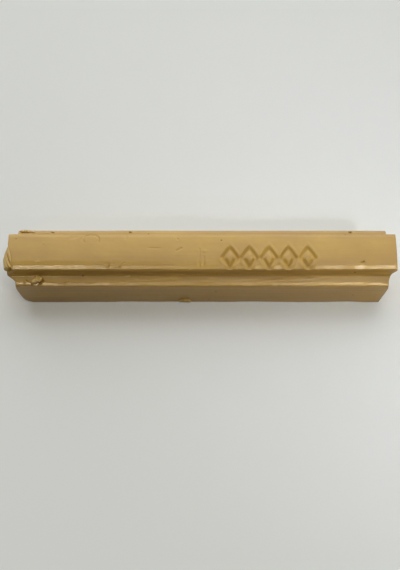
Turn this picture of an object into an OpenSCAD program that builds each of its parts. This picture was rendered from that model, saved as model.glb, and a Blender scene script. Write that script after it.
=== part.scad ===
// Furniture repair wax stick: a cast bar of pigmented wax.
// A wide body lies on its flat foot. A narrower, longer cap with a crowned face stands on it,
// so the body leaves a ledge along each long side and the cap overhangs the body at each end.
// +X runs along the bar, +Z is up, and the origin is on the foot under the middle of the cap.

/* [Cap] */
// Length of the cap, which is the length of the casting
cap_length = 80; // [60:1:120]
// Length of cap that overhangs the body at each end
end_overhang = 1.7; // [0.8:0.1:3]
// Height of the cap's upright sides above the ledge
cap_height = 1.95; // [1.6:0.05:4]
// Slope of the crowned face where it meets the bevels, in degrees
crown_angle = 11; // [6:1:16]
// Width of the bevel along each side of the cap
cap_bevel = 1.1; // [0.7:0.1:2]
// Slope of the bevels on the cap and on the ledges, in degrees
bevel_angle = 22; // [18:1:35]
// Radius where the cap's bevel meets its upright side
cap_edge_r = 0.4; // [0.2:0.1:0.6]
// Radius over the top of the cap's ends
cap_end_r = 0.5; // [0.2:0.1:0.8]

/* [Body] */
// Width of the body across its two ledges
body_width = 13.6; // [11:0.1:18]
// Height of the body from its foot to the root of the cap
body_height = 8.6; // [6:0.1:12]
// Depth of the ledge on each long side
ledge_depth = 2.4; // [2:0.1:2.8]
// Drop of the ledge from the root of the cap to its bevel
ledge_fall = 0.2; // [0.1:0.05:0.4]
// Width of the bevel along the ledge's outer edge
ledge_bevel = 0.9; // [0.5:0.1:1.1]
// Radius where the ledge meets its bevel
ledge_crease_r = 0.6; // [0.3:0.1:1]
// Radius where the ledge's bevel meets the side
ledge_edge_r = 0.3; // [0.2:0.1:0.5]
// Radius of the cove at the root of the cap
cove_r = 0.6; // [0.2:0.1:0.8]
// Amount that each long side leans in from the ledge's bevel to the foot
side_draft = 0.8; // [0.2:0.1:1.2]
// Radius along the foot's long edges
foot_edge_r = 0.3; // [0.1:0.1:0.5]

/* [Ends] */
// Height of the upright band under the ledge at each end
end_band = 1.6; // [0.8:0.1:2.5]
// Amount that each end leans in from the band to the foot
end_lean = 1.4; // [0.5:0.1:2]
// Radius of the rounded foot at the gate end
gate_foot_r = 3.3; // [1:0.1:5]
// Radius of the upright corners
corner_r = 0.4; // [0.2:0.1:0.8]

/* [Gate] */
// Length that the slanting break takes off the cap's front edge at the gate end
gate_cut = 1.1; // [0.4:0.1:1.5]
// Distance of the break's back end behind the middle of the cap
gate_cut_back = 1.8; // [0:0.1:2.5]
// Length of the stub along the break
stub_length = 6.2; // [4:0.1:7]
// Height of the stub at the middle of the break
stub_height = 2.2; // [1.6:0.1:3]
// Amount that the stub stands out from the middle of the break
stub_proud = 1.4; // [0.6:0.1:1.8]
// Depth of the stub's top below the crown beside it
stub_sink = 0.2; // [0.2:0.05:0.5]

/* [Crumb] */
// Distance of the crumb from the cap's gate end
crumb_from_end = 6.5; // [4:0.1:20]
// Radius of the crumb's larger grain
crumb_r = 0.6; // [0.3:0.1:0.7]
// Spacing of the crumb's three grains
crumb_step = 0.65; // [0.4:0.05:0.8]

/* [Flake] */
// Distance of the flake from the cap's gate end
flake_from_end = 36.4; // [10:0.1:60]
// Length of the flake along the foot
flake_length = 2.8; // [1.5:0.1:5]
// Thickness of the flake at its middle
flake_thickness = 0.4; // [0.2:0.05:0.6]
// Height of the flake's middle above the foot
flake_height = 0.9; // [0.4:0.1:2]

/* [Flash tags] */
// Distances of flash tags from the cap's gate end
gate_tags = [2.7, 24.9]; // [1:0.1:30]
// Distances of flash tags from the cap's plain end
plain_tags = [8.6]; // [3:0.1:30]
// Radius of a flash tag
tag_r = 0.55; // [0.3:0.05:0.8]
// Thickness of a flash tag
tag_thickness = 0.3; // [0.15:0.05:0.5]

/* [Hidden] */
$fn = 64;

wax = [0.78, 0.65, 0.40];
wax_pale = [0.84, 0.72, 0.48];

half_cap = cap_length / 2;
half_body = half_cap - end_overhang;
body_y = body_width / 2;
cap_y = body_y - ledge_depth;
foot_y = body_y - side_draft;
ledge_edge_z = body_height - ledge_fall - ledge_bevel * sin(bevel_angle);
cap_edge_z = body_height + cap_height;
band_z = ledge_edge_z - end_band;

// The flat of the ledge, inside its bevel
ledge_flat = ledge_depth - ledge_bevel * cos(bevel_angle);
ledge_angle = atan(ledge_fall / ledge_flat);

// The crown is one arc from bevel to bevel. The bevels run on above it to a roof, which the arc cuts off.
crease_y = cap_y - cap_bevel * cos(bevel_angle);
crease_z = cap_edge_z + cap_bevel * sin(bevel_angle);
crown_r = crease_y / sin(crown_angle);
crown_top_z = crease_z + crown_r * (1 - cos(crown_angle));
roof_z = cap_edge_z + cap_y * tan(bevel_angle);
function crown_z(y) = crown_top_z - crown_r + sqrt(crown_r * crown_r - y * y);

side_angle = atan(side_draft / ledge_edge_z);

// How far each outline is extruded past the bar, so that only the outlines shape it
margin = 2;
// Each corner arc runs this far past its tangents, so that it meets the sides at a clean edge.
arc_overlap = 0.002;
// The side outline clears the crest of the crown by this much.
crest_clear = 0.05;
// The stub is drawn this far past the break, and the bar is then cut out of it.
stub_root = 0.2;

// Turn of an outline at its corner b, in degrees: positive where it bulges out
function turn(a, b, c) =
    let (u = b - a, v = c - b)
    atan2(u.x * v.y - u.y * v.x, u * v);
function toward(b, a) = (a - b) / norm(a - b);
function tangent(a, b, c, r) = r * tan(abs(turn(a, b, c)) / 2);
function arc_centre(a, b, c, r) =
    let (d = toward(b, a) + toward(b, c))
    b + d / norm(d) * r / cos(turn(a, b, c) / 2);

// A closed outline of corners [x, y, radius], counter-clockwise, each rounded by a true arc.
// An outer corner gains the arc's disc, and an inner corner loses it.
module soft_outline(corners) {
    n = len(corners);
    function at(i) = [corners[(i + n) % n].x, corners[(i + n) % n].y];
    function r(i) = corners[i].z;
    difference() {
        union() {
            polygon([
                for (i = [0 : n - 1])
                    let (t = tangent(at(i - 1), at(i), at(i + 1), r(i)))
                    each [
                        at(i) + toward(at(i), at(i - 1)) * t,
                        at(i) + toward(at(i), at(i + 1)) * t
                    ]
            ]);
            for (i = [0 : n - 1])
                if (turn(at(i - 1), at(i), at(i + 1)) > 0)
                    corner_disc(at(i - 1), at(i), at(i + 1), r(i));
        }
        for (i = [0 : n - 1])
            if (turn(at(i - 1), at(i), at(i + 1)) < 0)
                corner_disc(at(i - 1), at(i), at(i + 1), r(i));
    }
}

module corner_disc(a, b, c, r) {
    translate(arc_centre(a, b, c, r)) circle(r + arc_overlap);
}

// Section across the bar, in Y and Z: leaning sides, bevelled ledges, a coved and bevelled cap
module section() {
    right = [
        [foot_y, 0, foot_edge_r],
        [body_y, ledge_edge_z, ledge_edge_r],
        [cap_y + ledge_flat, body_height - ledge_fall, ledge_crease_r],
        [cap_y, body_height, cove_r],
        [cap_y, cap_edge_z, cap_edge_r]
    ];
    n = len(right);
    intersection() {
        soft_outline([
            each right,
            [0, roof_z, cap_edge_r],
            for (i = [n - 1 : -1 : 0]) [-right[i].x, right[i].y, right[i].z]
        ]);
        translate([0, crown_top_z - crown_r]) circle(crown_r, $fn = 256);
    }
}

// Outline of the bar seen from its long side, in X and Z: the plain end is at +X and the gate end at -X
module side_outline() {
    soft_outline([
        [half_body - end_lean, 0, foot_edge_r],
        [half_body, band_z, corner_r],
        [half_body, ledge_edge_z, corner_r],
        [half_cap, cap_edge_z - cap_end_r, cap_end_r],
        [half_cap, crown_top_z + crest_clear, cap_end_r],
        [-half_cap, crown_top_z + crest_clear, cap_end_r],
        [-half_cap, cap_edge_z - cap_end_r, cap_end_r],
        [-half_body, ledge_edge_z, corner_r],
        [-half_body, band_z, corner_r],
        [end_lean - half_body, 0, gate_foot_r]
    ]);
}

// Outline of the bar seen from above: the long cap, with its front corner broken off at the gate,
// crosses the wide body
module plan() {
    cap_x = half_cap + arc_overlap;
    cap_side = cap_y + arc_overlap;
    body_x = half_body + arc_overlap;
    body_side = body_y + arc_overlap;
    soft_outline([
        [cap_x, -cap_side, corner_r],
        [cap_x, cap_side, corner_r],
        [-cap_x, cap_side, corner_r],
        [-cap_x, gate_cut_back, corner_r],
        [gate_cut - cap_x, -cap_side, corner_r]
    ]);
    soft_outline([
        [body_x, -body_side, corner_r],
        [body_x, body_side, corner_r],
        [-body_x, body_side, corner_r],
        [-body_x, -body_side, corner_r]
    ]);
}

// The bar is what all three outlines share.
module bar_solid() {
    intersection() {
        rotate([90, 0, 90])
            linear_extrude(cap_length + 2 * margin, center = true) section();
        rotate([90, 0, 0])
            linear_extrude(body_width + 2 * margin, center = true) side_outline();
        translate([0, 0, -margin])
            linear_extrude(crown_top_z + 2 * margin) plan();
    }
}

module wax_bar() {
    color(wax) bar_solid();
}

// The scrap of wax left on the break where the gate was torn off: the outer part of a lens, whose rim runs
// through both ends of the stub and its tip, and whose faces are two balls that share that rim
module gate_stub() {
    half_length = stub_length / 2;
    half_height = stub_height / 2;
    rim_r = (pow(half_length, 2) + pow(stub_proud, 2)) / (2 * stub_proud);
    ball_drop = (pow(half_length, 2) - pow(half_height, 2)) / stub_height;
    ball_r = norm([rim_r, ball_drop]);
    break_run = gate_cut_back + cap_y;
    middle_y = gate_cut_back - break_run / 2;
    color(wax_pale)
        difference() {
            translate([
                gate_cut / 2 - half_cap,
                middle_y,
                crown_z(middle_y) - stub_sink - half_height
            ])
                rotate(atan(gate_cut / break_run))
                    intersection() {
                        translate([rim_r - stub_proud, 0, -ball_drop]) sphere(ball_r, $fn = 128);
                        translate([rim_r - stub_proud, 0, ball_drop]) sphere(ball_r, $fn = 128);
                        translate([stub_root - 2 * ball_r, -ball_r, -ball_r]) cube(2 * ball_r);
                    }
            bar_solid();
        }
}

// Places its children on a ledge, with Z square to it and X along the bar, at a share of its flat
// from the root of the cap. Side -1 is the front and 1 the back.
module on_ledge(side, from_end, share) {
    translate([
        from_end - half_cap,
        side * (cap_y + ledge_flat * share),
        body_height - ledge_fall * share
    ])
        rotate([-side * ledge_angle, 0, 0]) children();
}

// Keeps the part of its children above their own ground plane
module above_ground(size) {
    intersection() {
        children();
        translate([-size, -size, 0]) cube(2 * size);
    }
}

// Three fused grains that lie slantwise across the front ledge: each is [along, across, share of the radius]
module ledge_crumb() {
    grains = [[-1, -0.7, 0.75], [-0.2, 0.4, 1], [1, 0, 0.8]];
    color(wax_pale)
        on_ledge(-1, crumb_from_end, 0.5)
            above_ground(4 * crumb_r + crumb_step)
                for (g = grains)
                    translate([g.x * crumb_step, g.y * crumb_step, 0.2 * crumb_r])
                        sphere(crumb_r * g.z);
}

// A thin blister of wax that hangs on the front side above the foot
module foot_flake() {
    half = flake_length / 2;
    r = (half * half + flake_thickness * flake_thickness) / (2 * flake_thickness);
    color(wax_pale)
        intersection() {
            translate([flake_from_end - half_cap, -foot_y, 0])
                rotate([90 + side_angle, 0, 0])
                    above_ground(2 * flake_length)
                        translate([0, flake_height, flake_thickness - r]) sphere(r, $fn = 128);
            translate([-half_cap, -body_width, 0]) cube([cap_length, body_width, body_height]);
        }
}

// Torn scraps of mould flash that stand like half discs along the back ledge
module flash_tags() {
    color(wax)
        for (place = [each gate_tags, for (d = plain_tags) cap_length - d])
            on_ledge(1, place, 1 - tag_thickness / ledge_flat)
                above_ground(2 * tag_r)
                    rotate([90, 0, 0])
                        cylinder(r = tag_r, h = tag_thickness, center = true);
}

wax_bar();
gate_stub();
ledge_crumb();
foot_flake();
flash_tags();
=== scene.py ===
"""Looks of a furniture repair wax stick: one cast bar of ochre filler wax, with scraps of wax left on it.

Sizes of the bar are in millimetres, and MM turns them to metres where a mesh or a pattern is made.
+X runs along the bar to its plain end, -X is the gate end, -Y is the front and Z is up from the foot.
"""

import math

import bpy
import numpy as np
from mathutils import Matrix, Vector


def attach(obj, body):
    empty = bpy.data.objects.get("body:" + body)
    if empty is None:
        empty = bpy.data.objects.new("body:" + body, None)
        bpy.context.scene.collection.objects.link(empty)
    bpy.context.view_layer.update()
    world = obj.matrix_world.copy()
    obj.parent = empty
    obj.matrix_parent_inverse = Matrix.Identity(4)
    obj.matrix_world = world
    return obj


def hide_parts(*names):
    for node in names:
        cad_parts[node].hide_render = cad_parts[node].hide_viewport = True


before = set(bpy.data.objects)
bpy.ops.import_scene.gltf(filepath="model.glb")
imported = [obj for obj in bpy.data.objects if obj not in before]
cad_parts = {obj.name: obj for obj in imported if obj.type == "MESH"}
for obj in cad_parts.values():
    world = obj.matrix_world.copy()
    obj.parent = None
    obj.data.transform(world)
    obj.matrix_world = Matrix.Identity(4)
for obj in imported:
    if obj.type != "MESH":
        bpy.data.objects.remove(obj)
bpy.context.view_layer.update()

MM = 0.001

# Sizes of the casting, the same as its solid's
HALF_CAP = 40.0
END_OVERHANG = 1.7
CAP_HEIGHT = 1.95
CROWN_ANGLE = math.radians(11)
CAP_BEVEL = 1.1
BEVEL_ANGLE = math.radians(22)
CAP_END_R = 0.5
BODY_Y = 6.8
BODY_HEIGHT = 8.6
LEDGE_DEPTH = 2.4
LEDGE_FALL = 0.2
LEDGE_BEVEL = 0.9
SIDE_DRAFT = 0.8
END_BAND = 1.6
END_LEAN = 1.4
GATE_FOOT_R = 3.3
GATE_CUT = 1.1
GATE_CUT_BACK = 1.8

# Places and slopes that follow from them
HALF_BODY = HALF_CAP - END_OVERHANG
CAP_Y = BODY_Y - LEDGE_DEPTH
FOOT_Y = BODY_Y - SIDE_DRAFT
LEDGE_FLAT = LEDGE_DEPTH - LEDGE_BEVEL * math.cos(BEVEL_ANGLE)
LEDGE_EDGE_Z = BODY_HEIGHT - LEDGE_FALL - LEDGE_BEVEL * math.sin(BEVEL_ANGLE)
LEDGE_CREASE_Y = CAP_Y + LEDGE_FLAT
LEDGE_CREASE_Z = BODY_HEIGHT - LEDGE_FALL
LEDGE_SLOPE = math.atan(LEDGE_FALL / LEDGE_FLAT)
SIDE_LEAN = math.atan(SIDE_DRAFT / LEDGE_EDGE_Z)
BAND_Z = LEDGE_EDGE_Z - END_BAND
CAP_EDGE_Z = BODY_HEIGHT + CAP_HEIGHT
CREASE_Y = CAP_Y - CAP_BEVEL * math.cos(BEVEL_ANGLE)
CREASE_Z = CAP_EDGE_Z + CAP_BEVEL * math.sin(BEVEL_ANGLE)
CROWN_R = CREASE_Y / math.sin(CROWN_ANGLE)
BREAK_RUN = GATE_CUT_BACK + CAP_Y

# Radii that soften the casting's edges
FOOT_EDGE_R = 0.3
LEDGE_EDGE_R = 0.35
LEDGE_CREASE_R = 0.8
COVE_R = 0.6
CAP_EDGE_R = 0.45
CROWN_CREASE_R = 0.9
END_EDGE_R = 0.22

# Rise of the ledge at the root of the cap
LEDGE_ROOT_RISE = 0.1

# Widths over which the ends bend: at the band, at the foot and the top of the slope under the cap, and at
# the break
BAND_BEND = 0.12
UNDERSIDE_BEND = 0.1
CAP_END_BEND = 0.08
BREAK_BEND = 0.15

# Fillet at an end beside the cap: its reach, and the width over which it falls away
END_FILLET = 0.75
END_FILLET_FALL = 0.5

# The break of the gate: the depth of its scoop, and how far its rim lies outside the slope
SCOOP_DEPTH = 0.4
BREAK_RIM = 0.22

# Web of wax that the break left in front of the cap: its reach, what it loses for each millimetre to the
# front, how far behind the cap's side it starts, and its lowest and highest z, each with the width of its
# fade. It shows only from a little over the band up.
WEB_REACH = 1.75
WEB_TAPER = 1.3
WEB_ROOT, WEB_ROOT_FADE = 0.9, 0.5
WEB_LOW, WEB_LOW_FADE = 7.2, 1.2
WEB_HIGH, WEB_HIGH_FADE = 10.4, 0.8
WEB_OVER_BAND = 0.3

# The skin lies this far inside the solid, so that its waves and rims stay in the solid's box. Its relief
# stops a little short of that.
SKIN_ROOM = 0.07
RELIEF_LIMIT = 0.06

# Marks pressed into the crown: a row of plain lozenges. The place and width of the rim are shares of the
# groove's half width.
LOZENGE_X = 5.7 + 3.99 * np.arange(5)
LOZENGE_Y = -1.85
LOZENGE_HALF = (1.5, 2.45)
LOZENGE_ROUND = 0.3
LOZENGE_GROOVE = 0.62
LOZENGE_DEPTH = 0.3
LOZENGE_RIM = 0.06
LOZENGE_RIM_PLACE = 1.25
LOZENGE_RIM_WIDTH = 0.35

# Strokes on the crown: start, end, half width, and height, which is negative for a scratch
CROWN_STROKES = [
    (-10.7, 0.5, -8.7, 0.5, 0.16, -0.10),
    (-5.2, -0.1, -4.3, 0.5, 0.2, -0.12),
    (-0.54, 0.4, -0.5, -3.6, 0.13, -0.10),
    (0.38, -1.5, 0.4, -3.4, 0.13, -0.09),
    (0.4, -0.3, 0.6, -0.2, 0.3, 0.07),
    (-19.2, -3.6, -19.2, -3.2, 0.22, -0.11),
    (-17.0, -3.8, -16.4, -3.3, 0.15, -0.08),
    (-16.4, -3.3, -16.0, -2.9, 0.14, -0.07),
    (-18.4, -3.1, -18.2, -3.0, 0.16, -0.08),
    (-33.9, -2.8, -33.6, -2.6, 0.28, 0.09),
    (-15.7, 3.1, -15.6, 3.5, 0.22, -0.10),
    (-26.9, 3.2, -26.1, 3.4, 0.45, -0.10),
    (32.7, -3.0, 33.1, -2.8, 0.25, -0.12),
    (-5.1, 2.75, -5.05, 2.8, 0.16, -0.14),
    (-38.4, 2.75, -38.35, 2.8, 0.18, -0.14),
]

# Strokes on the front ledge and its bevel
LEDGE_STROKES = [
    (-15.7, -5.42, -2.4, -5.18, 0.16, 0.07),
    (10.9, -5.75, 18.0, -5.3, 0.2, 0.08),
    (18.0, -5.3, 26.2, -4.9, 0.2, 0.08),
    (-38.0, -6.68, -34.9, -6.66, 0.12, -0.2),
    (-36.35, -6.0, -36.05, -5.55, 0.11, -0.13),
    (-36.05, -5.55, -35.7, -5.85, 0.11, -0.13),
    (-28.4, -6.35, -27.5, -5.9, 0.15, -0.12),
    (-29.2, -6.0, -28.6, -6.3, 0.15, 0.07),
    (-33.1, -4.9, -32.6, -5.6, 0.17, -0.3),
    (-32.6, -5.6, -33.3, -6.3, 0.17, -0.3),
]

# Part of a pressed ring on the crown, which fades out towards the front
RING_X, RING_Y, RING_R = -22.9, 2.7, 1.6
RING_WIDTH = 0.15
RING_DEPTH = 0.2
RING_FRONT, RING_FADE = 1.8, 0.5

# Relief of the cast surface: height, length along the bar, length round the section, and seed of each
# noise. The drag lines have a smaller share on the crown, and the foot's waves fade out at their height.
WAVES = [(0.026, 13, 4, 1), (0.010, 2.7, 2.1, 2)]
PITS = [(0.009, 0.9, 0.8, 3)]
BEVEL_PITS = [(0.015, 1.1, 0.5, 11)]
DRAG_LINES = [(0.012, 14, 0.36, 4), (0.008, 5, 0.5, 5)]
CROWN_DRAG = 0.35
FOOT_WAVES = [(0.10, 5, 1, 6)]
FOOT_WAVE_HEIGHT = 2.5

# Relief of an end's face in the same form, and how far each noise is shifted
FACE_WAVES = [(0.02, 3, 3, 12)]
FACE_PITS = [(0.008, 0.9, 0.9, 13)]
FACE_WAVE_SHIFT = 60
FACE_PIT_SHIFT = 36

# Where the relief of the crown, the ledge and the bevels begins and ends
RELIEF_FADE = 0.2
LEDGE_TOP_ROOM = 0.3
CAP_BEVEL_MIDDLE, CAP_BEVEL_SPREAD = 0.5 * (CAP_Y + CREASE_Y), 0.8
LEDGE_BEVEL_MIDDLE, LEDGE_BEVEL_SPREAD = BODY_Y - 0.4, 0.6

# Stations of the skin along x, which are closer in the stretches that hold small marks
STATIONS = 410
WIDE_STEP = 0.4
FINE_STEP = 0.12
FINE_RUNS = [
    (-38.8, -33), (-29.5, -25.5), (-24.9, -20.9), (-20, -15),
    (-6, -3.5), (-1.2, 1.2), (3.2, 24.2), (32, 33.8),
]

# Rings of the skin at an end: over its edge, over its face, and those in which the face's relief takes over
EDGE_RINGS = 5
FACE_RINGS = 22
FACE_FADE_RINGS = 9

# Height that the rings of a face draw in to, and the share of its outline that the last one keeps
HEART_Z = 6.0
LAST_RING = 0.03


# Helpers

def unit(v):
    """Vectors along the last axis, each divided by its length."""
    least = 1e-12
    return v / np.maximum(np.linalg.norm(v, axis=-1, keepdims=True), least)


def smooth(t):
    """0 below 0, 1 above 1, and an S curve between."""
    t = np.clip(t, 0, 1)
    return t * t * (3 - 2 * t)


def bell(t):
    """1 at 0, falling to nothing past 2 on either side."""
    return np.exp(-t * t)


def soft_ramp(t, width):
    """max(t, 0) with its corner bent over about the given width."""
    return width * np.logaddexp(0, t / width)


def value_noise(u, v, seed):
    """Smooth noise from -1 to 1 with features about 1 long: random values on a lattice, eased between."""
    size = 64
    lattice = np.random.default_rng(seed).uniform(-1, 1, (size, size))
    i, j = np.floor(u).astype(int), np.floor(v).astype(int)
    a, b = smooth(u - i), smooth(v - j)
    i, next_i = i % size, (i + 1) % size
    j, next_j = j % size, (j + 1) % size
    low = lattice[i, j] * (1 - a) + lattice[next_i, j] * a
    high = lattice[i, next_j] * (1 - a) + lattice[next_i, next_j] * a
    return low * (1 - b) + high * b


def noise_relief(u, v, noises):
    """Sum of noises, each its height times the noise of u and v over its two lengths."""
    return sum(height * value_noise(u / long, v / wide, seed) for height, long, wide, seed in noises)


def stroke_relief(x, y, strokes):
    """Height of strokes on a face: each is a bell over the distance to the line from start to end."""
    height = 0 * x
    for x0, y0, x1, y1, width, rise in strokes:
        run = (x1 - x0) ** 2 + (y1 - y0) ** 2
        share = np.clip(((x - x0) * (x1 - x0) + (y - y0) * (y1 - y0)) / run, 0, 1)
        distance = np.hypot(x - x0 - share * (x1 - x0), y - y0 - share * (y1 - y0))
        height = height + rise * bell(distance / width)
    return height


# The casting

def rounded_outline(corners):
    """Points round a closed outline, counter-clockwise, whose corners are arcs.

    Each corner is (y, z, radius, points on its arc, points on the straight run after it). An arc touches
    both sides of its corner at radius * tan(turn / 2) from it, and its centre lies one radius square off
    the side where it starts. A point that falls on the one before it is left out.
    """
    same_place = 1e-4
    corner = np.array([c[:2] for c in corners])
    radius = np.array([c[2] for c in corners])
    inward = unit(corner - np.roll(corner, 1, 0))
    onward = np.roll(inward, -1, 0)
    cross = inward[:, 0] * onward[:, 1] - inward[:, 1] * onward[:, 0]
    turn = np.arctan2(cross, (inward * onward).sum(1))
    reach = (radius * np.tan(np.abs(turn) / 2))[:, None]
    first, last = corner - inward * reach, corner + onward * reach
    left = np.stack([-inward[:, 1], inward[:, 0]], 1)
    centre = first + left * (radius * np.sign(turn))[:, None]
    runs = []
    for i, (_, _, _, arc_points, run_points) in enumerate(corners):
        angle = turn[i] * np.linspace(0, 1, arc_points)
        spoke = first[i] - centre[i]
        across = np.array([-spoke[1], spoke[0]])
        runs.append(centre[i] + np.outer(np.cos(angle), spoke) + np.outer(np.sin(angle), across))
        share = np.linspace(0, 1, run_points + 2)[1:-1, None]
        runs.append(last[i] + share * (first[(i + 1) % len(corners)] - last[i]))
    points = np.concatenate(runs)
    return points[np.linalg.norm(points - np.roll(points, 1, 0), axis=1) > same_place]


def bar_section():
    """Outline across the bar in y and z: leaning sides, bevelled ledges, coves, and a crown of one arc.

    The crown is one corner, where the tangents at both ends of its arc meet. Its radius is the length of
    such a tangent, up to the rounded crease, over tan(crown's angle).
    """
    apex = CREASE_Z + CREASE_Y * math.tan(CROWN_ANGLE)
    crease_reach = CROWN_CREASE_R * math.tan((BEVEL_ANGLE - CROWN_ANGLE) / 2)
    crown_r = (CREASE_Y / math.cos(CROWN_ANGLE) - crease_reach) / math.tan(CROWN_ANGLE)
    crown_points = 60
    corners = [
        (FOOT_Y, 0, FOOT_EDGE_R),
        (BODY_Y, LEDGE_EDGE_Z, LEDGE_EDGE_R),
        (LEDGE_CREASE_Y, LEDGE_CREASE_Z, LEDGE_CREASE_R),
        (CAP_Y, BODY_HEIGHT + LEDGE_ROOT_RISE, COVE_R),
        (CAP_Y, CAP_EDGE_Z, CAP_EDGE_R),
        (CREASE_Y, CREASE_Z, CROWN_CREASE_R),
    ]
    arc_points = [5, 5, 6, 6, 8, 5]
    runs_up_the_back = [10, 3, 6, 2, 3, 0]
    runs_down_the_front = [6, 14, 6, 12, 3, 5]
    back = [(y, z, r, n, run) for (y, z, r), n, run in zip(corners, arc_points, runs_up_the_back)]
    front = [(-y, z, r, n, run) for (y, z, r), n, run in zip(corners, arc_points, runs_down_the_front)]
    return rounded_outline(back + [(0, apex, crown_r, crown_points, 0)] + front[::-1])


def crown_z(y):
    """Height of the cap over y: the crown's arc, and the bevel beside it."""
    arc = CREASE_Z - CROWN_R * math.cos(CROWN_ANGLE) + np.sqrt(CROWN_R**2 - y**2)
    bevel = CREASE_Z - (np.abs(y) - CREASE_Y) * math.tan(BEVEL_ANGLE)
    return np.where(np.abs(y) < CREASE_Y, arc, bevel)


def overhang(y, z):
    """How far the cap's end stands out past the body.

    Under the cap it is a slope from the ledge up. Beside the cap it is the smaller of that slope and a
    fillet that falls off with the distance from the cap's side, as e^(-distance).
    """
    start, stop = LEDGE_EDGE_Z, CAP_EDGE_Z - CAP_END_R
    climb = soft_ramp(z - start, UNDERSIDE_BEND) - soft_ramp(z - stop, CAP_END_BEND)
    slope = END_OVERHANG / (stop - start) * climb
    beside = np.abs(y) - CAP_Y
    fillet = END_FILLET * np.exp(-np.maximum(beside, 0) / END_FILLET_FALL)
    return np.where(beside > 0, np.minimum(slope, fillet), slope)


def plain_end(y, z):
    """Reach of the plain end in x: it leans out from the foot to the band, then out again under the cap."""
    lean = END_LEAN / BAND_Z * (z - soft_ramp(z - BAND_Z, BAND_BEND))
    return HALF_BODY - END_LEAN + lean + overhang(y, z)


def break_web(y, z):
    """Reach in -x of the web in front of the cap: it tapers to the front and fades at its other sides."""
    beside = -CAP_Y - y
    taper = np.clip(WEB_REACH - WEB_TAPER * beside, 0, WEB_REACH)
    root = smooth((beside + WEB_ROOT) / WEB_ROOT_FADE)
    low = smooth((z - WEB_LOW) / WEB_LOW_FADE)
    high = smooth((WEB_HIGH - z) / WEB_HIGH_FADE)
    return HALF_BODY + taper * root * low * high


def gate_end(y, z):
    """Reach of the gate end in -x: as the plain end, but with a round foot, the slanting break and its web.

    The break is a slope with a shallow scoop in it, 4 * share * (1 - share) of its depth along the break.
    """
    lean_angle = math.atan(END_LEAN / BAND_Z)
    tangent = GATE_FOOT_R * math.tan((math.pi / 2 - lean_angle) / 2)
    drop = np.clip(GATE_FOOT_R - z, 0, GATE_FOOT_R)
    round_foot = HALF_BODY - END_LEAN - tangent + np.sqrt(GATE_FOOT_R**2 - drop**2)
    reach = np.where(z < tangent * math.cos(lean_angle), round_foot, plain_end(y, z))
    share = np.clip((GATE_CUT_BACK - y) / BREAK_RUN, 0, 1)
    scoop = SCOOP_DEPTH * 4 * share * (1 - share)
    cut = GATE_CUT * soft_ramp(GATE_CUT_BACK - y, BREAK_BEND) / BREAK_RUN + scoop - BREAK_RIM
    reach = np.minimum(reach, HALF_CAP - np.maximum(cut, 0))
    return np.where(z > BAND_Z + WEB_OVER_BAND, np.maximum(reach, break_web(y, z)), reach)


def lozenge_relief(x, y):
    """Five pressed lozenges: a round groove with a raised rim on each side of its outline.

    The distance to the nearest outline is |dx| / half width + |dy| / half height - 1, over the length of
    its slope, and the corners are rounded by taking each |d| as the root of d^2 + round^2.
    """
    nearest = LOZENGE_X[np.abs(x[..., None] - LOZENGE_X).argmin(-1)]
    half_x, half_y = LOZENGE_HALF
    share_x = np.hypot(x - nearest, LOZENGE_ROUND) / half_x
    share_y = np.hypot(y - LOZENGE_Y, LOZENGE_ROUND) / half_y
    distance = np.abs(share_x + share_y - 1) / math.hypot(1 / half_x, 1 / half_y) / LOZENGE_GROOVE
    groove = 1 - smooth(distance)
    rim = bell((distance - LOZENGE_RIM_PLACE) / LOZENGE_RIM_WIDTH)
    return LOZENGE_RIM * rim - LOZENGE_DEPTH * groove


def ring_relief(x, y):
    """Height of the pressed ring: a bell over the distance to its circle, faded towards the front."""
    distance = np.hypot(x - RING_X, y - RING_Y) - RING_R
    return -RING_DEPTH * bell(distance / RING_WIDTH) * smooth((y - RING_FRONT) / RING_FADE)


def skin_relief(x, y, z, along):
    """Height of the cast surface over the plain shape, where along is the distance round the section.

    It is the sum of slow waves, soft pitting that is deeper on the bevels, drag lines that are fainter on
    the crown, a wavy foot, and the lozenges, ring and strokes.
    """
    on_top = smooth((z - CAP_EDGE_Z) / RELIEF_FADE + 0.5)
    over_edge = smooth((z - LEDGE_EDGE_Z) / RELIEF_FADE + 0.5)
    on_ledge = over_edge * smooth((BODY_HEIGHT + LEDGE_TOP_ROOM - z) / RELIEF_FADE) * (y < 0)
    on_bevels = bell((np.abs(y) - CAP_BEVEL_MIDDLE) / CAP_BEVEL_SPREAD)
    on_bevels = on_bevels + bell((np.abs(y) - LEDGE_BEVEL_MIDDLE) / LEDGE_BEVEL_SPREAD)
    cast = noise_relief(x, along, WAVES + PITS) + on_bevels * noise_relief(x, along, BEVEL_PITS)
    drag = (1 - (1 - CROWN_DRAG) * on_top) * noise_relief(x, along, DRAG_LINES)
    foot = noise_relief(x, 0 * x, FOOT_WAVES) * (1 - smooth(z / FOOT_WAVE_HEIGHT))
    crown = on_top * (lozenge_relief(x, y) + ring_relief(x, y) + stroke_relief(x, y, CROWN_STROKES))
    ledge = on_ledge * stroke_relief(x, y, LEDGE_STROKES)
    return np.minimum(cast + drag + foot + crown + ledge, RELIEF_LIMIT)


def face_relief(y, z):
    """Height of an end's face over the plain shape: the sum of slow waves and soft pitting."""
    waves = noise_relief(y + FACE_WAVE_SHIFT, z + FACE_WAVE_SHIFT, FACE_WAVES)
    return waves + noise_relief(y + FACE_PIT_SHIFT, z + FACE_PIT_SHIFT, FACE_PITS)


def grid_normals(grid):
    """Outward normals of a grid [row, ring]: the cross product of its steps round a ring and along rows."""
    along_rows = np.gradient(grid, axis=0)
    round_ring = np.roll(grid, -1, 1) - np.roll(grid, 1, 1)
    normal = unit(np.cross(round_ring, along_rows))
    outward = (normal * (grid - grid.mean((0, 1)))).sum() > 0
    return normal if outward else -normal


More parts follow.
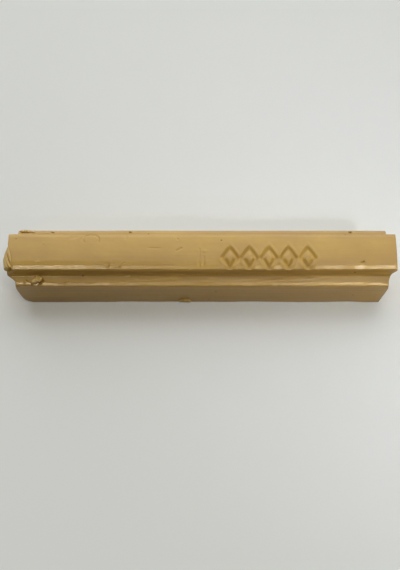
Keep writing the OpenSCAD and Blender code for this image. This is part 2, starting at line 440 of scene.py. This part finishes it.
def station_shares():
    """Shares of the bar's length at its stations: their density, 1 over the step, is summed along x."""
    samples = 4001
    x = np.linspace(-HALF_CAP, HALF_CAP, samples)
    fine = np.any([(x > start) & (x < end) for start, end in FINE_RUNS], axis=0)
    count = np.cumsum(1 / np.where(fine, FINE_STEP, WIDE_STEP))
    share = (count - count[0]) / (count[-1] - count[0])
    return np.interp(np.linspace(0, 1, STATIONS), share, np.linspace(0, 1, samples))


def bar_skin():
    """The casting as a grid [station, point of the section].

    Between the ends, each point of the section is carried straight along x from station to station. At an
    end the section first draws in along a quarter circle, which rounds the edge, and then shrinks almost
    to a point over the end's face. The relief is then added along the normals, where the face's own takes
    over from the sides' within the first rings of an end, and the foot stays flat.
    """
    foot_touch = 0.01
    section = bar_section()
    tangent = unit(np.roll(section, -1, 0) - np.roll(section, 1, 0))
    inward = np.stack([-tangent[:, 1], tangent[:, 0]], 1)
    heart = np.array([0, HEART_Z])

    y, z = section.T
    right, left = plain_end(y, z) - END_EDGE_R, END_EDGE_R - gate_end(y, z)
    share = station_shares()[:, None]
    sides = np.stack([left + share * (right - left), y + 0 * share, z + 0 * share], 2)

    turn = np.linspace(0, math.pi / 2, EDGE_RINGS + 1)[1:, None, None]
    edge = section + inward * END_EDGE_R * (1 - np.cos(turn))
    edge_drop = END_EDGE_R * (1 - np.sin(turn))[..., 0] + 0 * edge[..., 0]
    shrink = 1 - (1 - LAST_RING) * np.linspace(0, 1, FACE_RINGS + 1)[1:, None, None] ** 2
    face = heart + shrink * (edge[-1] - heart)
    rings = np.concatenate([edge, face])
    drop = np.concatenate([edge_drop, 0 * face[..., 0]])
    ring_y, ring_z = rings[..., 0], rings[..., 1]
    plain = np.stack([plain_end(ring_y, ring_z) - drop, ring_y, ring_z], 2)
    gate = np.stack([drop - gate_end(ring_y, ring_z), ring_y, ring_z], 2)

    grid = np.concatenate([gate[::-1], sides, plain])
    step = np.linalg.norm(np.roll(section, -1, 0) - section, axis=1)
    along = np.cumsum(step) + 0 * grid[..., 0]
    on_face = smooth(np.arange(1, len(rings) + 1) / FACE_FADE_RINGS)
    on_face = np.concatenate([on_face[::-1], 0 * share[:, 0], on_face])[:, None]
    x, y, z = np.moveaxis(grid, 2, 0)
    relief = (1 - on_face) * skin_relief(x, y, z, along) + on_face * face_relief(y, z) - SKIN_ROOM
    skin = grid + grid_normals(grid) * relief[..., None]
    skin[..., 2] = np.where(grid[..., 2] < foot_touch, 0, np.maximum(skin[..., 2], 0))
    return skin


# The scraps

def stub_skin():
    """The torn scrap on the break as a grid [place along the break, ring].

    Along the break, from u = 0 at the back to 1 at the front, it swells by (1 - (1 - u)^2.8) * (1 - u^40):
    thin at the back and blunt at the front. Across, its outer face is about half an ellipse from the crown
    down, with lines that fan out along it where the wax tore, and its back is flat, behind the scoop of the
    break. u runs closer at both ends, as half a turn of a cosine.
    """
    length, half_height, proud = 5.0, 1.15, 1.62
    thin_power, blunt_power, face_power = 2.8, 40, 0.8
    first_turn, last_u = 0.03, 0.998
    places_along, places_across, places_back = 61, 121, 15
    seat, under_crown = 0.5, 0.1
    tear_lines, tear_width, tear_depth, fan_out = (0.28, 0.42, 0.56, 0.74), 0.04, 0.22, 0.3
    lump_height, lumps_across, lumps_along, lump_seed = 0.05, 14, 4, 7
    inside_end, start_y = 0.15, 1.1

    start = np.array([-HALF_CAP + inside_end, start_y, 0])
    run = unit(np.array([GATE_CUT, -BREAK_RUN, 0]))
    outward = np.array([run[1], -run[0], 0])
    up = np.array([0, 0, 1.0])
    u = (0.5 - 0.5 * np.cos(np.linspace(first_turn, 1, places_along) * math.pi))[:, None] * last_u
    swell = (1 - (1 - u) ** thin_power) * (1 - u**blunt_power)
    t = np.linspace(0, 1, places_across)[None, :]
    angle = math.pi * (t - 0.5)
    fan = t + fan_out * u
    tears = sum(bell((fan - line) / tear_width) for line in tear_lines)
    lumps = value_noise(lumps_across * fan, lumps_along * u + 0 * t, lump_seed)
    scale = 1 - tear_depth * tears + lump_height * lumps
    face_out = swell * proud * np.cos(angle) ** face_power * scale
    back = np.linspace(1, 0, places_back + 2)[None, 1:-1]
    out = np.concatenate([face_out, -seat + 0 * swell * back], 1)
    drop = np.concatenate([1 + np.sin(angle) * scale, 2 * back + 0 * u], 1) * half_height * swell**0.5
    spine = start + length * u[..., None] * run
    top = crown_z(spine[..., 1:2]) - under_crown
    return spine + out[..., None] * outward + (top - drop[..., None]) * up


def scrap_skin(outline, height, steep, tilt, lumps, seed, place, up):
    """A small scrap of wax on a face, as a grid [ring, place round its outline].

    outline is (angle in degrees, radius) pairs, eased between. up is the direction on the face at 90
    degrees, and x lies at 0. A ring at the share k of the radius stands over the face by
    (height + tilt * distance along up) * (1 - k^power), times 1 + lumps * noise, and the last rings run back
    to the middle just under the face. steep is (angle, power there, power opposite): a high power is a
    steep side.
    """
    places, rings, under_rings, eased_places = 72, 26, 5, 5
    centre_share, below_face, lump_scale, lump_shift = 0.02, 0.06, 3, 9

    across = np.array([1.0, 0, 0])
    degrees, radius = np.array(outline, float).T
    theta = np.linspace(0, 2 * math.pi, places, endpoint=False)
    lobe = np.interp(np.degrees(theta), degrees, radius, period=360)
    shifts = np.arange(-eased_places, eased_places + 1)
    weights = bell(2 * shifts / eased_places)
    lobe = sum(weight * np.roll(lobe, shift) for shift, weight in zip(shifts, weights / weights.sum()))
    k = np.linspace(centre_share, 1, rings)[:, None]
    facing = 0.5 + 0.5 * np.cos(theta - math.radians(steep[0]))
    power = steep[2] + (steep[1] - steep[2]) * facing
    noise_x, noise_y = lump_scale * k * np.cos(theta), lump_scale * k * np.sin(theta)
    noise = value_noise(noise_x + lump_shift, noise_y + lump_shift, seed)
    under = np.linspace(1, centre_share, under_rings + 1)[1:, None]
    radii = np.concatenate([k, under]) * lobe
    flat_x, flat_y = radii * np.cos(theta), radii * np.sin(theta)
    top = (height + tilt * flat_y[:rings]) * (1 + lumps * noise)
    rise = np.concatenate([top * (1 - k**power), -below_face + 0 * under * theta])
    normal = np.cross(across, up)
    return np.array(place) + flat_x[..., None] * across + flat_y[..., None] * up + rise[..., None] * normal


def crumb_skin():
    """The crumb on the front ledge: a slanting lump, steep on its front right side.

    Its top leans by a share of its height, and past the ledge's crease it bends down with the bevel.
    """
    outline = [
        (0, 1.15), (20, 1.3), (45, 1.05), (73, 1.2), (95, 1.3), (115, 0.8),
        (150, 0.5), (200, 1.3), (212, 1.45), (235, 0.9), (270, 0.65), (310, 0.7),
    ]
    place = (-33.95, -5.6, 8.42)
    lean = np.array([0.15, 0.1, 0])
    crease_bend = 0.1
    up = np.array([0, math.cos(LEDGE_SLOPE), math.sin(LEDGE_SLOPE)])
    crumb = scrap_skin(
        outline, height=0.75, steep=(320, 30.0, 3.0), tilt=-0.35, lumps=0.25, seed=8, place=place, up=up)
    crumb += (crumb[..., 2:] - place[2]) * lean
    crumb[..., 2] -= math.tan(BEVEL_ANGLE) * soft_ramp(-LEDGE_CREASE_Y - crumb[..., 1], crease_bend)
    return crumb


def flake_skin():
    """The flake on the front side at the foot: thin, with a steep upper side, and cut off at the floor."""
    outline = [
        (25, 1.05), (60, 0.9), (100, 1.0), (150, 0.95),
        (185, 1.5), (250, 0.75), (290, 0.75), (350, 1.5),
    ]
    past_foot = 0.06
    place = (-3.6, -FOOT_Y - past_foot, 1.1)
    up = np.array([0, -math.sin(SIDE_LEAN), math.cos(SIDE_LEAN)])
    flake = scrap_skin(
        outline, height=0.42, steep=(90, 20.0, 2.5), tilt=0.2, lumps=0.2, seed=9, place=place, up=up)
    flake[..., 2] = np.maximum(flake[..., 2], 0)
    return flake


def tag_skins():
    """The flash tags: four small scraps on the back ledge, and a ragged ridge on its bevel."""
    outline = [(20, 0.4), (80, 0.22), (140, 0.42), (200, 0.35), (260, 0.18), (320, 0.3)]
    x_and_height = [(-35.1, 0.12), (-31.0, 0.15), (-14.9, 0.22), (30.8, 0.22)]
    first_seed = 10
    tag_y, tag_z = CAP_Y + 1.1 * LEDGE_FLAT, 8.36
    up = np.array([0, math.cos(LEDGE_SLOPE), -math.sin(LEDGE_SLOPE)])
    tags = [
        scrap_skin(
            outline, height, steep=(90, 2.5, 2.0), tilt=0.0, lumps=0.1, seed=seed,
            place=(x, tag_y, tag_z), up=up)
        for seed, (x, height) in enumerate(x_and_height, first_seed)
    ]
    ridge_outline = [
        (2, 1.7), (12, 1.1), (30, 0.55), (75, 0.36), (95, 0.3), (130, 0.45), (165, 1.1),
        (178, 1.6), (195, 1.1), (220, 0.42), (250, 0.34), (275, 0.26), (300, 0.36), (345, 0.9),
    ]
    ridge_x, ridge_y = -36.6, 6.28
    ridge_z = LEDGE_CREASE_Z - math.tan(BEVEL_ANGLE) * (ridge_y - LEDGE_CREASE_Y) - SKIN_ROOM
    bevel_up = np.array([0, math.cos(BEVEL_ANGLE), -math.sin(BEVEL_ANGLE)])
    ridge = scrap_skin(
        ridge_outline, height=0.26, steep=(90, 24.0, 24.0), tilt=-0.1, lumps=0.3, seed=14,
        place=(ridge_x, ridge_y, ridge_z), up=bevel_up)
    return tags + [ridge]


# Meshes

def skin_mesh(grid, first):
    """Points and faces of a closed skin over a grid [row, ring], with its points counted from first.

    The faces are quads between neighbours, and a fan from each end row to that row's mean. They are turned
    round where the volume under the quads comes out negative.
    """
    rows, columns = grid.shape[:2]
    points = np.concatenate([grid.reshape(-1, 3), grid[:1].mean(1), grid[-1:].mean(1)]) * MM
    at = np.arange(rows * columns).reshape(rows, columns)
    beside = np.roll(at, -1, 1)
    quads = np.stack([at[:-1], beside[:-1], beside[1:], at[1:]], 2).reshape(-1, 4)
    start = np.stack([beside[0], at[0], np.full(columns, rows * columns)], 1)
    end = np.stack([at[-1], beside[-1], np.full(columns, rows * columns + 1)], 1)
    corners = points[quads] - points.mean(0)
    inside_out = np.einsum("ij,ij->", corners[:, 0], np.cross(corners[:, 1], corners[:, 2])) < 0
    order = -1 if inside_out else 1
    quads, start, end = [(first + faces[:, ::order]).tolist() for faces in (quads, start, end)]
    return points.tolist(), quads + start + end


def wax_piece(name, grids, material, node):
    """One object of closed skins, which rides on the part and stands for its node."""
    points, faces = [], []
    for grid in grids:
        grid_points, grid_faces = skin_mesh(grid, len(points))
        points += grid_points
        faces += grid_faces
    mesh = bpy.data.meshes.new(name)
    mesh.from_pydata(points, [], faces)
    mesh.polygons.foreach_set("use_smooth", np.ones(len(mesh.polygons), bool))
    mesh.materials.append(material)
    mesh.update()
    piece = bpy.data.objects.new(name, mesh)
    bpy.context.scene.collection.objects.link(piece)
    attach(piece, "root")
    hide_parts(node)


# Materials

def linear(hex_colour):
    """An sRGB hex colour as linear red, green, blue and alpha."""
    values = [int(hex_colour[i:i + 2], 16) / 255 for i in (1, 3, 5)]
    return [v / 12.92 if v <= 0.04045 else ((v + 0.055) / 1.055) ** 2.4 for v in values] + [1.0]


def shade(tree, kind, inputs, output=None, **settings):
    """Adds a shader node and gives its output socket. An input is a value, or a socket to link it to."""
    made = tree.nodes.new(kind)
    for key, value in settings.items():
        setattr(made, key, value)
    for key, value in inputs.items():
        socket = next(s for s in made.inputs if s.name == key and s.enabled)
        if isinstance(value, bpy.types.NodeSocket):
            tree.links.new(value, socket)
        else:
            socket.default_value = value
    return next(s for s in made.outputs if s.enabled and output in (None, s.name))


def wax_material(name, body, patch, streak_and_shade, speck, roughness, grain_height):
    """Pigmented wax: a body colour, slow patches, streaks along the bar, specks of pigment and a grain.

    The streaking is strongest on the long sides, which were dragged along the mould. It follows the share of
    the surface's normal that lies along y, so there it is partly real streaking and partly painted shade
    that darkens the front and back walls and the riser. Real grain is finer: it is drawn this coarse so that
    it shows.
    """
    patch_size, grain_size, speck_spacing = 9 * MM, 0.7 * MM, 4 * MM
    streak_size = (22 * MM, 5 * MM, 0.6 * MM)
    glossier, duller = 0.05, 0.07

    material = bpy.data.materials.new(name)
    material.use_nodes = True
    tree = material.node_tree
    place = shade(tree, "ShaderNodeTexCoord", {}, "Object")
    slow = shade(tree, "ShaderNodeTexNoise", {"Vector": place, "Scale": 1 / patch_size, "Detail": 3.0})
    run = shade(tree, "ShaderNodeMapping", {"Vector": place, "Scale": [1 / size for size in streak_size]})
    lines = shade(tree, "ShaderNodeTexNoise", {"Vector": run, "Scale": 1.0, "Detail": 2.0})
    grain = shade(tree, "ShaderNodeTexNoise", {"Vector": place, "Scale": 1 / grain_size, "Detail": 3.0})
    dots = shade(tree, "ShaderNodeTexVoronoi", {"Vector": place, "Scale": 1 / speck_spacing})

    facing = shade(tree, "ShaderNodeTexCoord", {}, "Normal")
    sideways = shade(tree, "ShaderNodeVectorMath", {"Vector": facing}, operation="ABSOLUTE")
    sideways = shade(tree, "ShaderNodeSeparateXYZ", {"Vector": sideways}, "Y")

    patches = shade(tree, "ShaderNodeMapRange", {"Value": slow, "From Min": 0.35, "From Max": 0.65})
    # Painted shade on top of the real streaking: faces turned to the front or back take more of the darker
    # streaking colour.
    least = shade(tree, "ShaderNodeMapRange", {
        "Value": sideways, "From Min": 0.4, "From Max": 0.95, "To Max": 0.5})
    most = shade(tree, "ShaderNodeMapRange", {
        "Value": sideways, "From Min": 0.4, "From Max": 0.95, "To Min": 0.35, "To Max": 0.8})
    streaks = shade(tree, "ShaderNodeMapRange", {
        "Value": lines, "From Min": 0.42, "From Max": 0.7, "To Min": least, "To Max": most})
    specks = shade(tree, "ShaderNodeMapRange", {
        "Value": dots, "From Min": 0.03, "From Max": 0.07, "To Min": 0.8, "To Max": 0.0})
    patched = shade(tree, "ShaderNodeMix", {
        "Factor": patches, "A": linear(body), "B": linear(patch)}, data_type="RGBA")
    streaked_and_shaded = shade(tree, "ShaderNodeMix", {
        "Factor": streaks, "A": patched, "B": linear(streak_and_shade)}, data_type="RGBA")
    colour = shade(tree, "ShaderNodeMix", {
        "Factor": specks, "A": streaked_and_shaded, "B": linear(speck)}, data_type="RGBA")
    sheen = shade(tree, "ShaderNodeMapRange", {
        "Value": grain, "From Min": 0.3, "From Max": 0.7,
        "To Min": roughness - glossier, "To Max": roughness + duller})
    bump = shade(tree, "ShaderNodeBump", {"Height": grain, "Distance": grain_height * MM})

    shader = tree.nodes["Principled BSDF"]
    shader.inputs["IOR"].default_value = 1.44
    tree.links.new(colour, shader.inputs["Base Color"])
    tree.links.new(sheen, shader.inputs["Roughness"])
    tree.links.new(bump, shader.inputs["Normal"])
    return material


def paper_material(name, colour, glow, glow_share):
    """Dull paper. To the eye and in reflections, a share of it is an even glow, which softens its shadow.

    The flags of camera, glossy and transmission rays become one number: the length of the vector of them.
    """
    material = bpy.data.materials.new(name)
    material.use_nodes = True
    tree = material.node_tree
    flags = {"X": "Is Camera Ray", "Y": "Is Glossy Ray", "Z": "Is Transmission Ray"}
    rays = {axis: shade(tree, "ShaderNodeLightPath", {}, flag) for axis, flag in flags.items()}
    rays = shade(tree, "ShaderNodeCombineXYZ", rays)
    seen = shade(tree, "ShaderNodeVectorMath", {"Vector": rays}, operation="LENGTH")
    share = shade(tree, "ShaderNodeMapRange", {"Value": seen, "To Max": glow_share})
    paper = shade(tree, "ShaderNodeMix", {
        "Factor": share, "A": linear(colour), "B": linear("#000000")}, data_type="RGBA")
    shader = tree.nodes["Principled BSDF"]
    shader.inputs["Roughness"].default_value = 0.9
    shader.inputs["Emission Color"].default_value = linear(glow)
    tree.links.new(paper, shader.inputs["Base Color"])
    tree.links.new(share, shader.inputs["Emission Strength"])
    return material


# Filler wax poured into a smooth mould: an opaque ochre with faint patches and streaks, and a soft satin
# sheen that is a little uneven where the wax shrank. Part of the darkness of its streaking on the long sides
# is painted shade.
moulded_wax = wax_material("moulded_wax", "#C09D4C", "#B89548", "#9D7842", "#6B4A1E", 0.165, 0.004)

# The same wax where it was torn or broken: a little paler, duller and grainier, with the same painted shade
# on faces turned to the front or back.
torn_wax = wax_material("torn_wax", "#CDAF6B", "#BE9C53", "#AA8842", "#6F4A1E", 0.22, 0.012)

# Uncoated paper for the floor: pale, even and without gloss.
pale_paper = paper_material("pale_paper", "#E4E9E9", "#D4D6D3", 0.15)

# Pieces
wax_piece("cast_bar", [bar_skin()], moulded_wax, "wax_bar")
wax_piece("torn_stub", [stub_skin()], torn_wax, "gate_stub")
wax_piece("slant_crumb", [crumb_skin()], torn_wax, "ledge_crumb")
wax_piece("foot_blister", [flake_skin()], torn_wax, "foot_flake")
wax_piece("torn_tags", tag_skins(), torn_wax, "flash_tags")


# The studio, in metres

def soft_lamp(name, place, aim, size, watts, colour="#FFFFFF", spread=180):
    """A soft box at a place, turned to its aim. size is its width and depth, spread its light's angle."""
    data = bpy.data.lights.new(name, "AREA")
    data.shape = "RECTANGLE"
    data.size, data.size_y = size
    data.energy = watts
    data.color = linear(colour)[:3]
    data.spread = math.radians(spread)
    lamp = bpy.data.objects.new(name, data)
    lamp.location = place
    lamp.rotation_mode = "QUATERNION"
    lamp.rotation_quaternion = (Vector(aim) - Vector(place)).to_track_quat("-Z", "Y")
    bpy.context.scene.collection.objects.link(lamp)


bpy.ops.mesh.primitive_plane_add(size=6)
floor = bpy.context.object
floor.name = "floor"
floor.data.materials.append(pale_paper)

WARM = "#FFEFD4"
BAR = (0, 0, 0)
soft_lamp("window_behind", (-0.04, 0.78, 0.64), BAR, (1.5, 1.5), 12.5)
soft_lamp("window_right", (0.8, 0.5, 0.5), BAR, (0.7, 0.7), 1.2)
soft_lamp("ceiling_right", (0.13, -0.22, 0.8), BAR, (0.1, 0.1), 0.74, WARM)
soft_lamp("ceiling_left", (-0.13, -0.22, 0.8), BAR, (0.1, 0.1), 0.56, WARM)
soft_lamp("ceiling_front", (0, -0.22, 0.8), BAR, (0.14, 0.1), 0.14, WARM)
soft_lamp("ceiling_back_left", (-0.12, 0.12, 0.85), (-0.12, 0, 0), (0.24, 0.15), 0.06)
soft_lamp("ceiling_back_right", (0.12, 0.12, 0.85), (0.12, 0, 0), (0.24, 0.15), 0.28)
soft_lamp("fill_right", (0.25, -0.25, 0.25), (0.055, -0.01, 0), (0.06, 0.06), 0.009, spread=20)

world = bpy.data.worlds.new("room")
world.use_nodes = True
world.node_tree.nodes["Background"].inputs["Color"].default_value = linear("#E8EBEE")
world.node_tree.nodes["Background"].inputs["Strength"].default_value = 0.01
bpy.context.scene.world = world
bpy.context.scene.view_settings.view_transform = "Standard"

# Camera, at the photograph's angle
target = Vector((-0.44, -4.67, 5.0)) * MM
elevation = math.radians(60)
distance = 370 * MM
back = Vector((0, -math.cos(elevation), math.sin(elevation)))
camera_data = bpy.data.cameras.new("camera")
camera_data.lens = 113
camera_data.sensor_width = 36
camera_data.clip_start = 0.01
camera = bpy.data.objects.new("camera", camera_data)
camera.location = target + back * distance
camera.rotation_mode = "QUATERNION"
camera.rotation_quaternion = (-back).to_track_quat("-Z", "Y")
bpy.context.scene.collection.objects.link(camera)
bpy.context.scene.camera = camera
